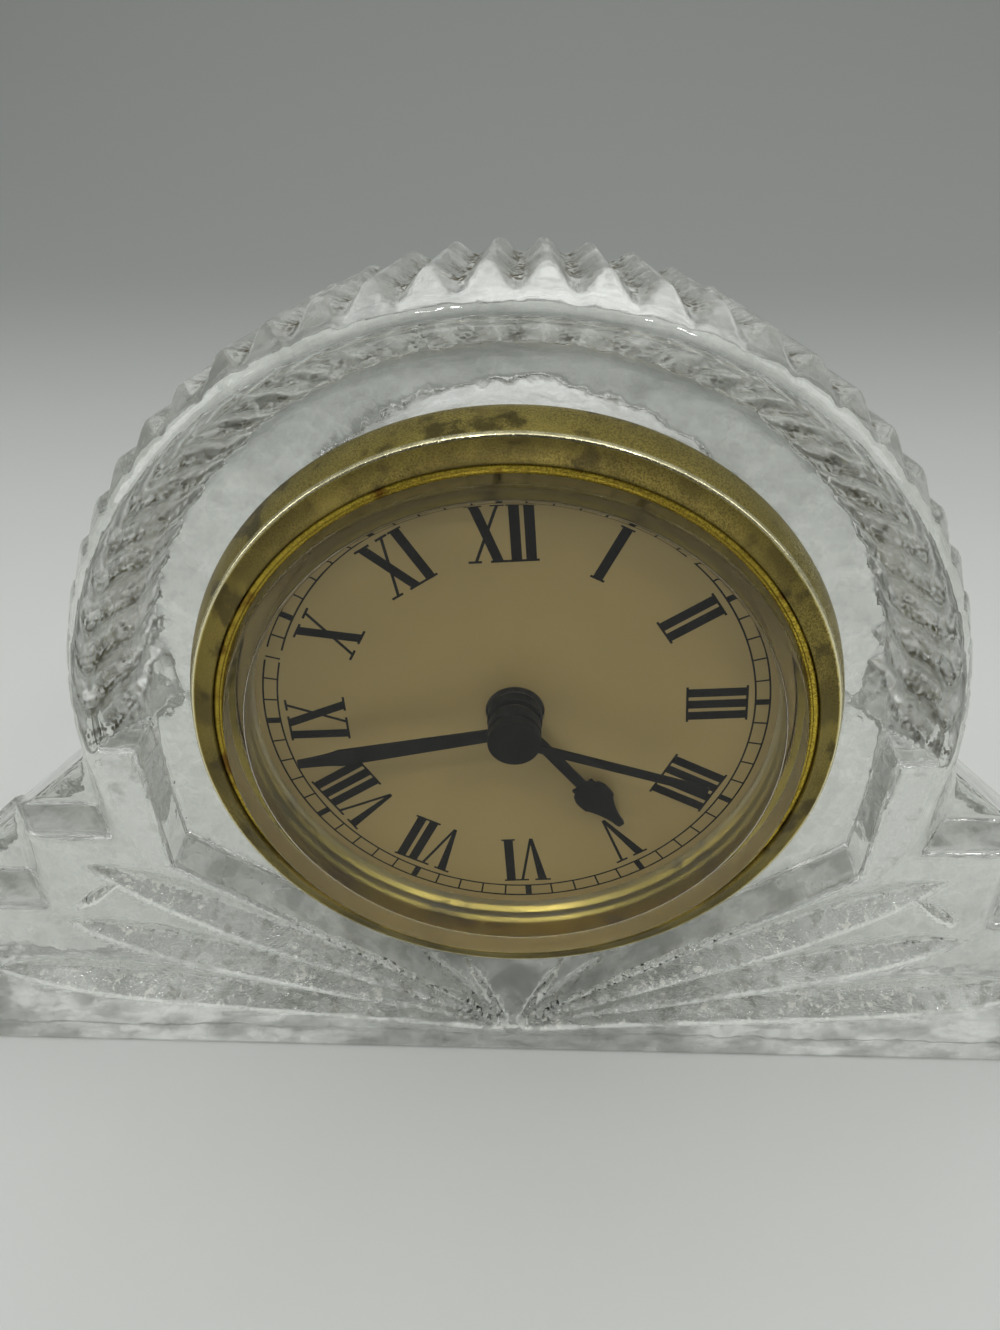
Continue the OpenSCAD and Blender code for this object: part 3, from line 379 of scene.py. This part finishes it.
def roman(figure, height=6.6):
    """Strokes of a serif roman figure round its middle: I is a thick bar, V a thick and a thin slope that meet at
    the foot, X a thick and a thin diagonal, with thin serifs everywhere but at the foot of V."""
    thick, thin, serif, over = 1.06, 0.34, 0.26, 0.26
    half = height / 2
    strokes, x, run_start = [], 0.0, None
    wide = {"I": thick, "V": 3.5, "X": 3.7}
    gap = 0.42

    def close_run(end):
        if run_start is not None:
            for y in (-half, half - serif):
                strokes.append(bar(run_start - over, end + over, y, y + serif))

    for k, c in enumerate(figure):
        if c == "I":
            if run_start is None:
                run_start = x
            strokes.append(bar(x, x + thick, -half, half))
            if k + 1 == len(figure) or figure[k + 1] != "I":
                close_run(x + thick)
                run_start = None
        elif c == "V":
            strokes.append([[x + 1.6, -half], [x + 2.0, -half], [x + thick + 0.15, half], [x + 0.15, half]])
            strokes.append([[x + 1.7, -half], [x + 2.0, -half], [x + 3.3, half], [x + 3.3 - thin, half]])
            strokes.append(bar(x - 0.25, x + 1.6, half - serif, half))
            strokes.append(bar(x + 2.35, x + 3.8, half - serif, half))
        else:
            strokes.append([[x + 2.35, -half], [x + 2.35 + thick, -half], [x + thick + 0.1, half], [x + 0.1, half]])
            strokes.append([[x + 0.35, -half], [x + 0.35 + thin, -half], [x + 3.3, half], [x + 3.3 - thin, half]])
            for x0, x1, y in ((-0.2, 1.15, -half), (2.05, 3.85, -half), (-0.25, 1.55, half - serif),
                              (2.35, 3.75, half - serif)):
                strokes.append(bar(x + x0, x + x1, y, y + serif))
        x += wide[c] + gap
    middle = (x - gap) / 2
    return [np.array(s) - [middle, 0] for s in strokes]


def stand_at(angle, across, out):
    """Points across and outwards from the dial's centre, turned clockwise from twelve by the angle."""
    s, c = np.sin(angle), np.cos(angle)
    return np.stack([across * c + out * s, out * c - across * s], -1)


def make_print():
    """Printed figures and minute track as one thin layer on the dial: figures stand radially with their heads
    outwards, the track is two worn circles in half-degree pieces, with a short line for each minute and a bold
    bar for each hour."""
    quads = []
    for i, figure in enumerate(("XII", "I", "II", "III", "IIII", "V", "VI", "VII", "VIII", "IX", "X", "XI")):
        strokes = np.array(roman(figure))
        quads.append(stand_at(math.radians(30 * i), strokes[..., 0], 21.65 + strokes[..., 1]))
    a = np.arange(0, 360, 0.5)
    a = a[~((a > 44.5) & (a < 47.2)) & ~((a > 286.5) & (a < 290.5))][:, None]
    for radius in (25.72, 27.26):
        quads.append(stand_at(np.radians(a + [0, 0, 0.5, 0.5]), 0.0, radius + np.array([-0.1, 0.1, 0.1, -0.1])))
    minute = np.arange(60)[:, None]
    half = np.where(minute % 5 == 0, 0.36, 0.1) * [-1, -1, 1, 1]
    quads.append(stand_at(np.radians(6.0 * minute), half, np.array([25.7, 27.28, 27.28, 25.7])))
    p = np.concatenate(quads).reshape(-1, 2)
    p = np.concatenate([p, np.full((len(p), 1), DIAL_Z + 0.012)], 1)
    obj = add_mesh("dial_figures", to_row(p, TWIST), np.arange(len(p)).reshape(-1, 4), smooth=False)
    away = np.array([f.normal.y > 0 for f in obj.data.polygons])
    if away.mean() > 0.5:
        obj.data.flip_normals()
    return obj


# Materials

class Value:
    """A shader socket that takes part in Python sums: each operator adds its Math node."""

    def __init__(self, finish, socket):
        self.finish, self.socket = finish, socket

    def math(self, kind, other):
        return self.finish.add("ShaderNodeMath", [self, other], operation=kind)

    def __add__(self, o): return self.math("ADD", o)
    def __radd__(self, o): return self.math("ADD", o)
    def __rsub__(self, o): return self.finish.add("ShaderNodeMath", [o, self], operation="SUBTRACT")
    def __mul__(self, o): return self.math("MULTIPLY", o)
    def __rmul__(self, o): return self.math("MULTIPLY", o)
    def __gt__(self, o): return self.math("GREATER_THAN", o)
    def __lt__(self, o): return self.math("LESS_THAN", o)

    def ramp(self, low, high):
        """0 below low, 1 above high and a smooth step between them."""
        return self.finish.add("ShaderNodeMapRange", {"Value": self, "From Min": low, "From Max": high},
                               interpolation_type="SMOOTHSTEP")


class Finish:
    """The nodes of one material, or of the air round the object, with the ways to add to them."""

    def __init__(self, name, world=None):
        self.owner = world or bpy.data.materials.new(name)
        self.owner.use_nodes = True
        self.tree = self.owner.node_tree
        self.tree.nodes.clear()
        self.place = self.add("ShaderNodeTexCoord", output="Generated" if world else "Object")

    def add(self, kind, values=(), output=0, **settings):
        """Adds a node: settings first, then each value or link by socket name or place, and gives one output."""
        node = self.tree.nodes.new(kind)
        for key, value in settings.items():
            setattr(node, key, value)
        pairs = values.items() if isinstance(values, dict) else enumerate(values)
        for key, value in pairs:
            if isinstance(value, Value):
                self.tree.links.new(value.socket, node.inputs[key])
            else:
                if isinstance(value, (tuple, list)) and len(value) == 3 and len(node.inputs[key].default_value) == 4:
                    value = (*value, 1)
                node.inputs[key].default_value = value
        return Value(self, node.outputs[output])

    def noise(self, scale, detail=3.0, rough=0.55, stretch=None):
        """Noise with features of about 1 / scale metres."""
        where = self.place
        if stretch:
            where = self.add("ShaderNodeMapping", {"Vector": where, "Scale": stretch})
        return self.add("ShaderNodeTexNoise", {"Vector": where, "Scale": scale, "Detail": detail, "Roughness": rough})

    def cells(self, scale):
        """Distance, in cell widths, to the middle of the nearest cell. A cell is about 1 / scale metres wide."""
        return self.add("ShaderNodeTexVoronoi", {"Vector": self.place, "Scale": scale})

    def mix(self, factor, a, b):
        """Colour a where factor is 0 and b where it is 1."""
        node = self.tree.nodes.new("ShaderNodeMix")
        node.data_type = "RGBA"
        for key, value in ((0, factor), (6, a), (7, b)):
            if isinstance(value, Value):
                self.tree.links.new(value.socket, node.inputs[key])
            else:
                node.inputs[key].default_value = (*value, 1)
        return Value(self, node.outputs[2])

    def bump(self, height, distance, strength=1.0, after=None):
        values = {"Height": height, "Distance": distance, "Strength": strength}
        if after is not None:
            values["Normal"] = after
        return self.add("ShaderNodeBump", values)

    def surface(self, **values):
        """The main shader, with words for its sockets' names."""
        return self.add("ShaderNodeBsdfPrincipled", {k.replace("_", " "): v for k, v in values.items()})

    def finish(self, shader, kind="ShaderNodeOutputMaterial"):
        out = self.tree.nodes.new(kind)
        self.tree.links.new(shader.socket, out.inputs["Surface"])
        return self.owner


def let_light_through(f, shader, share):
    """Lets this share of straight light through for shadows, so that what lies behind the clear piece is lit."""
    shadow = f.add("ShaderNodeLightPath", output="Is Shadow Ray")
    clear = f.add("ShaderNodeBsdfTransparent", {"Color": (1, 1, 1)})
    return f.add("ShaderNodeMixShader", [shadow * share, shader, clear])


def crystal_finish():
    """Pressed crystal: clear, with slow waves in its flats, a crinkled skin in the leaves and over the crown,
    painted highlight and painted shade as light and dark grains in the leaves (the dark grains thinly over all the
    glass), a painted highlight line along the edge of each leaf, painted shade and painted light in patches, a foot
    that is scuffed and painted dark grey, partly as painted shade, old dirt in the furrows and dark specks in the
    clefts. Light that has been mirrored four times or more is taken as the room's, in dim and lit patches."""
    f = Finish("pressed_crystal")
    cleft, furrow, crown, cut, frost, foot = (f.add("ShaderNodeAttribute", output="Fac", attribute_name=name)
                                              for name in ("cleft", "furrow", "crown", "cut", "frost", "foot"))
    wave = f.noise(85, 3.0)
    fine = f.noise(900, 3.0, stretch=(1.0, 0.35, 1.0))
    crinkle = f.noise(700, 4.0, 0.7)
    bump = f.bump(wave, 0.0016, 0.6)
    bump = f.bump(fine, 0.00006, 0.4, after=bump)
    bump = f.bump(crinkle * (cut + crown * 0.12), 0.0006, 0.8, after=bump)
    rough = 0.003 + 0.012 * wave.ramp(0.45, 0.75) + 0.05 * cleft + 0.3 * frost + 0.02 * crown + 0.3 * foot
    glass = f.surface(Base_Color=(0.915, 0.93, 0.90), Roughness=rough, IOR=1.52, Transmission_Weight=1.0, Normal=bump)
    grain = f.cells(1700)
    patch = f.noise(170, 5.0, 0.6)
    # How deep the surface lies in a leaf: the mask for the painted highlight and painted shade grains below.
    ground = cut.ramp(0.05, 0.5)
    # Painted highlight: pale grains in the leaves, more of them in some patches.
    light = f.noise(1100, 3.0, 0.7).ramp(0.52, 0.6) * ground * (0.15 + 0.5 * patch.ramp(0.48, 0.56))
    # Painted shade: dark grains thinly over all the glass and thicker in the leaves.
    shade = f.noise(520, 4.0, 0.7).ramp(0.52, 0.58) * (0.06 + 0.36 * ground * (1 - patch.ramp(0.44, 0.52)))
    # Painted shade as a dark film and painted light as pale patches, each a little stronger over the crown.
    shade_film = patch.ramp(0.49, 0.53) * 0.07 + 0.03 * crown
    light_patch = (1 - patch.ramp(0.43, 0.47)) * 0.12 + 0.06 * crown
    # Painted highlight: a pale line along the edge of each leaf.
    edge = cut.ramp(0.05, 0.4) * (1 - cut.ramp(0.6, 0.98)) * (0.25 + 0.45 * patch.ramp(0.4, 0.5))
    old = (grain < 0.5) * f.noise(420, 3.0).ramp(0.40, 0.48) * furrow * 0.95
    speck = (grain < 0.2) * f.noise(260).ramp(0.5, 0.6) * (cleft.ramp(0.15, 0.7) * 0.8 + furrow * 0.5 + 0.01)
    # The foot is scuffed and painted dark grey, partly as painted shade that dulls the light it mirrors.
    scuff_and_shade = foot * (0.25 + 0.4 * f.noise(130, 4.0).ramp(0.4, 0.62))
    # Each share lays its colour over the glass as a diffuse layer: the painted shade, painted light and painted
    # highlights above, then the dirt and the specks.
    for share, colour in ((scuff_and_shade, (0.22, 0.23, 0.21)), (shade_film, (0.24, 0.25, 0.22)), (light_patch, (0.80, 0.82, 0.78)),
                          (shade, (0.16, 0.16, 0.12)), (light, (0.84, 0.84, 0.77)), (edge, (0.88, 0.90, 0.86)),
                          (old, (0.06, 0.048, 0.022)), (speck, (0.04, 0.034, 0.025))):
        glass = f.add("ShaderNodeMixShader", [share, glass, f.add("ShaderNodeBsdfDiffuse", {"Color": colour})])
    dim = f.add("ShaderNodeEmission", {"Color": (0.08, 0.085, 0.075), "Strength": 1.0})
    lit = f.add("ShaderNodeEmission", {"Color": (0.56, 0.58, 0.54), "Strength": 1.0})
    glow = f.add("ShaderNodeMixShader", [f.noise(330, 4.0, 0.6).ramp(0.44, 0.56), dim, lit])
    lost = f.add("ShaderNodeLightPath", output="Glossy Depth") > 3.5
    glass = f.add("ShaderNodeMixShader", [lost, glass, glow])
    return f.finish(let_light_through(f, glass, 0.7))


def lens_finish():
    """Moulded clear plastic with a faint warm tint, fine scratches, specks of dust in patches and a matt wall."""
    f = Finish("lens_acrylic")
    scratch = f.noise(700, 2.0, stretch=(0.06, 1.0, 1.0))
    bump = f.bump(f.noise(60, 1.0), 0.0002, 0.08)
    bump = f.bump(scratch, 0.00001, 0.3, after=bump)
    side = f.add("ShaderNodeAttribute", output="Fac", attribute_name="mark")
    rough = 0.004 + 0.02 * f.noise(90).ramp(0.5, 0.8) + 0.28 * side
    clear = f.surface(Base_Color=(0.97, 0.965, 0.93), Roughness=rough, IOR=1.27, Transmission_Weight=1.0, Normal=bump)
    dust = (f.cells(2600) < 0.1) * f.noise(220).ramp(0.55, 0.7) * 0.35
    haze = f.add("ShaderNodeBsdfDiffuse", {"Color": (0.5, 0.47, 0.4)})
    body = f.add("ShaderNodeMixShader", [dust, clear, haze])
    return f.finish(let_light_through(f, body, 0.9))


def brass_finish(name, bright, dull, stain, pits, tarnish, rough0):
    """Worn lacquered brass: two tones in clouds, a close grain of bright and dull flecks in patches, brown stains,
    dark pits, a polished line where the attribute mark is above 0, and where it is below a darker tone, partly patina
    and partly painted shade, with more stains."""
    f = Finish(name)
    mark = f.add("ShaderNodeAttribute", output="Fac", attribute_name="mark")
    polished, dished = mark.ramp(0.2, 0.8), (0 - mark).ramp(0.2, 0.8)
    cloud = f.noise(45, 4.0).ramp(0.38, 0.66)
    patch = f.noise(70, 3.0).ramp(0.36, 0.58)
    fleck = f.noise(5200, 2.0).ramp(0.42, 0.6)
    blot = f.noise(190, 4.0).ramp(0.56, 0.66)
    pit = (f.cells(2600) < 0.2) * patch * pits
    colour = f.mix(cloud * tarnish, bright, dull)
    # Where mark is below 0 (the bezel's face) the colour is darker all over: partly patina, partly painted shade.
    colour = f.mix(dished * 0.8, colour, tuple(c * 0.75 for c in dull))
    colour = f.mix(dished * f.noise(150, 4.0).ramp(0.4, 0.6) * 0.6, colour, stain)
    colour = f.mix(fleck * (0.15 + 0.5 * patch), colour, tuple(c * 0.45 for c in dull))
    colour = f.mix(blot * 0.8, colour, stain)
    colour = f.mix(pit, colour, (0.03, 0.022, 0.01))
    colour = f.mix(polished, colour, (0.85, 0.78, 0.5))
    rough = (rough0 + 0.12 * cloud + 0.15 * fleck * patch + 0.2 * dished) * (1 - 0.5 * polished)
    bump = f.bump(fleck, 0.000012, 0.6)
    bump = f.bump(1 - pit, 0.00005, 0.6, after=bump)
    return f.finish(f.surface(Base_Color=colour, Metallic=1 - 0.7 * pit, Roughness=rough, Normal=bump))


def dial_finish():
    """Cream to tan printed sheet with a faint satin grain and slight clouds of age."""
    f = Finish("dial_sheet")
    cloud = f.noise(35, 3.0).ramp(0.35, 0.7)
    grain = f.noise(2400, 2.0)
    colour = f.mix(cloud, (0.37, 0.28, 0.11), (0.325, 0.245, 0.095))
    colour = f.mix(grain * 0.2, colour, (0.28, 0.21, 0.09))
    return f.finish(f.surface(Base_Color=colour, Metallic=0.15, Roughness=0.45 + 0.1 * grain,
                              Normal=f.bump(grain, 0.000003, 0.3)))


def paint_finish(name, colour, worn, rough, speck=0.0):
    """Thin paint: small changes of tone, fine grain and dust specks."""
    f = Finish(name)
    tone = f.noise(500, 3.0).ramp(0.4, 0.7)
    dust = (f.cells(1800) < 0.13) * f.noise(350).ramp(0.5, 0.65) * speck
    base = f.mix(tone * 0.5, colour, worn)
    base = f.mix(dust, base, (0.35, 0.33, 0.3))
    return f.finish(f.surface(Base_Color=base, Roughness=rough + 0.15 * tone, Specular_IOR_Level=0.06,
                              Normal=f.bump(f.noise(2600, 2.0), 0.000003, 0.3)))


def moulded_finish(name, colour, rough=0.45):
    """Moulded plastic: faint flow clouds, fine spark texture and handling grime in patches."""
    f = Finish(name)
    flow = f.noise(70, 3.0).ramp(0.35, 0.7)
    spark = f.noise(3800, 2.0)
    dark = tuple(c * 0.82 for c in colour)
    grime = f.noise(120, 4.0).ramp(0.6, 0.8)
    base = f.mix(flow * 0.6, colour, dark)
    base = f.mix(grime * 0.35, base, tuple(c * 0.55 for c in colour))
    return f.finish(f.surface(Base_Color=base, Roughness=rough + 0.12 * flow,
                              Normal=f.bump(spark, 0.00001, 0.5)))


def metal_finish(name, colour, rough, grain=(1.0, 1.0, 0.08)):
    """Plain or plated metal: drawn grain, cloudy sheen and a few stains."""
    f = Finish(name)
    brush = f.noise(1800, 3.0, stretch=grain)
    stain = f.noise(110, 4.0).ramp(0.58, 0.75)
    base = f.mix(brush * 0.35, colour, tuple(c * 0.75 for c in colour))
    base = f.mix(stain * 0.5, base, tuple(c * 0.4 for c in colour))
    return f.finish(f.surface(Base_Color=base, Metallic=1 - 0.3 * stain, Roughness=rough + 0.12 * brush,
                              Normal=f.bump(brush, 0.00001, 0.4)))


finishes = {
    "crystal": crystal_finish(),
    "gilt_bezel": brass_finish("bezel_brass", (0.62, 0.50, 0.15), (0.30, 0.235, 0.065), (0.09, 0.07, 0.03),
                               0.7, 0.7, 0.24),
    "gilt_ring": brass_finish("ring_gilt", (0.60, 0.45, 0.06), (0.34, 0.24, 0.035), (0.13, 0.045, 0.012),
                              0.4, 0.6, 0.26),
    "clear_lens": lens_finish(),
    "dial_print": dial_finish(),
    "case_metal": metal_finish("can_steel", (0.62, 0.60, 0.55), 0.3),
    "grip_rubber": moulded_finish("band_rubber", (0.035, 0.035, 0.035), 0.6),
    "hand_black": paint_finish("hand_paint", (0.004, 0.004, 0.004), (0.008, 0.008, 0.008), 0.42, 0.12),
    "housing_plastic": moulded_finish("housing_moulding", (0.030, 0.024, 0.019)),
    "wheel_plastic": moulded_finish("wheel_moulding", (0.8, 0.79, 0.72), 0.35),
    "gear_brass": metal_finish("cut_brass", (0.75, 0.55, 0.22), 0.25, (1.0, 0.1, 1.0)),
    "steel": metal_finish("plain_steel", (0.52, 0.52, 0.53), 0.35),
    "magnet": metal_finish("sintered_magnet", (0.16, 0.16, 0.17), 0.5, (1.0, 1.0, 1.0)),
    "copper_wire": metal_finish("enamelled_wire", (0.62, 0.24, 0.08), 0.25, (0.05, 1.0, 1.0)),
    "board": moulded_finish("board_lacquer", (0.03, 0.17, 0.08), 0.25),
    "can_metal": metal_finish("drawn_can", (0.74, 0.74, 0.76), 0.15),
    "cell_metal": metal_finish("cell_plate", (0.7, 0.7, 0.67), 0.2),
    "contact_metal": metal_finish("contact_bronze", (0.7, 0.56, 0.28), 0.3),
}
slot_of = {s["node"]: s["material_slot"] for s in frame["record"]["subparts"]}


def dress(obj, material):
    obj.data.materials.clear()
    obj.data.materials.append(material)


for name, obj in nodes.items():
    dress(obj, finishes[slot_of[name]])


def stand_in(obj, node, body):
    """The finished piece takes the place, the body and the finish of its CAD node."""
    dress(obj, finishes[slot_of[node]])
    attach(obj, body)
    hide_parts(node)


stand_in(make_crystal(), "crystal_body", "crystal")
stand_in(make_bezel(), "bezel", "insert")
stand_in(make_gilt_ring(), "gilt_ring", "insert")
stand_in(make_lens(), "lens", "insert")
figures = make_print()
dress(figures, paint_finish("print_black", (0.003, 0.003, 0.003), (0.007, 0.007, 0.006), 0.5))
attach(figures, "insert")


# Stage

def make_floor():
    """A wide pale sheet, flat 0.05 mm under the clock and curving up behind it as z = 0.7 t^3 over its last
    0.55 m."""
    u = np.linspace(-1.8, 1.8, 3)
    v = np.linspace(-2.0, 0.9, 60)
    z = np.where(v > 0.35, 0.7 * (np.maximum(v - 0.35, 0) / 0.55) ** 3, 0.0) - 0.00005
    grid = np.stack([np.tile(u, (60, 1)), np.tile(v[:, None], (1, 3)), np.tile(z[:, None], (1, 3))], -1)
    i = np.arange(59)[:, None] * 3 + np.arange(2)[None, :]
    faces = np.stack([i, i + 1, i + 4, i + 3], -1).reshape(-1, 4)
    return add_mesh("studio_sheet", grid.reshape(-1, 3), faces)


floor = make_floor()
f = Finish("studio_paper")
# Painted shade: the paper darkens from pale grey under the clock to 0.26 grey towards the back.
far_shade = f.add("ShaderNodeSeparateXYZ", {"Vector": f.place}, output="Y").ramp(0.02, 0.34)
paper = f.mix(far_shade, f.mix(f.noise(30, 3.0), (0.60, 0.61, 0.59), (0.57, 0.58, 0.56)), (0.26, 0.27, 0.26))
dress(floor, f.finish(f.surface(Base_Color=paper, Roughness=0.8)))


def soft_light(name, place, target, size, power):
    """A rectangular soft light that faces its target."""
    data = bpy.data.lights.new(name, "AREA")
    data.shape = "RECTANGLE"
    data.size, data.size_y = size
    data.energy = power
    obj = bpy.data.objects.new(name, data)
    bpy.context.scene.collection.objects.link(obj)
    away = np.array(place, float) - np.array(target, float)
    turn = math.atan2(away[1], away[0]) + math.pi / 2
    tilt = math.atan2(math.hypot(away[0], away[1]), away[2])
    obj.location = place
    obj.rotation_euler = (tilt, 0, turn)
    return obj


soft_light("top_light", (0.0, 0.02, 0.75), (0, 0, 0.03), (1.1, 0.84), 2.4)
soft_light("window_left", (-0.17, -0.48, 0.68), (0, 0, 0.06), (0.05, 0.09), 0.7)
soft_light("window_right", (0.33, -0.42, 0.66), (0, 0, 0.06), (0.05, 0.09), 0.7)
soft_light("side_light", (0.55, -0.15, 0.35), (0, 0, 0.05), (0.25, 0.35), 0.5)
soft_light("left_light", (-0.55, -0.10, 0.25), (0, 0, 0.05), (0.30, 0.30), 0.7)
soft_light("back_light", (0.10, 0.50, 0.40), (0, 0, 0.05), (1.0, 0.6), 0.9)
world = bpy.data.worlds.new("studio_air")
bpy.context.scene.world = world
air = Finish("studio_air", world)
height = air.add("ShaderNodeSeparateXYZ", {"Vector": air.place}, output="Z").ramp(0.0, 0.8)
front = air.add("ShaderNodeVectorMath", [air.place, (0.0, -0.87, 0.5)], output="Value", operation="DOT_PRODUCT")
sky = air.mix(height, (0.12, 0.125, 0.12), (0.50, 0.52, 0.505))
unseen = 1 - air.add("ShaderNodeLightPath", output="Is Camera Ray")
sky = air.mix(front.ramp(0.72, 0.9) * unseen, sky, (0.035, 0.035, 0.033))
air.finish(air.add("ShaderNodeBackground", {"Color": sky}), "ShaderNodeOutputWorld")
bpy.context.scene.view_settings.view_transform = "Standard"

camera_data = bpy.data.cameras.new("camera")
camera_data.sensor_fit = "VERTICAL"
camera_data.sensor_height = 36
camera_data.lens = 32.825
camera_data.clip_start = 0.005
camera = bpy.data.objects.new("camera", camera_data)
bpy.context.scene.collection.objects.link(camera)
camera.location = (0.00175755, -0.1164032, 0.1263359)
camera.rotation_euler = [math.radians(v) for v in (56.18496, 0.10505, 1.75782)]
bpy.context.scene.camera = camera
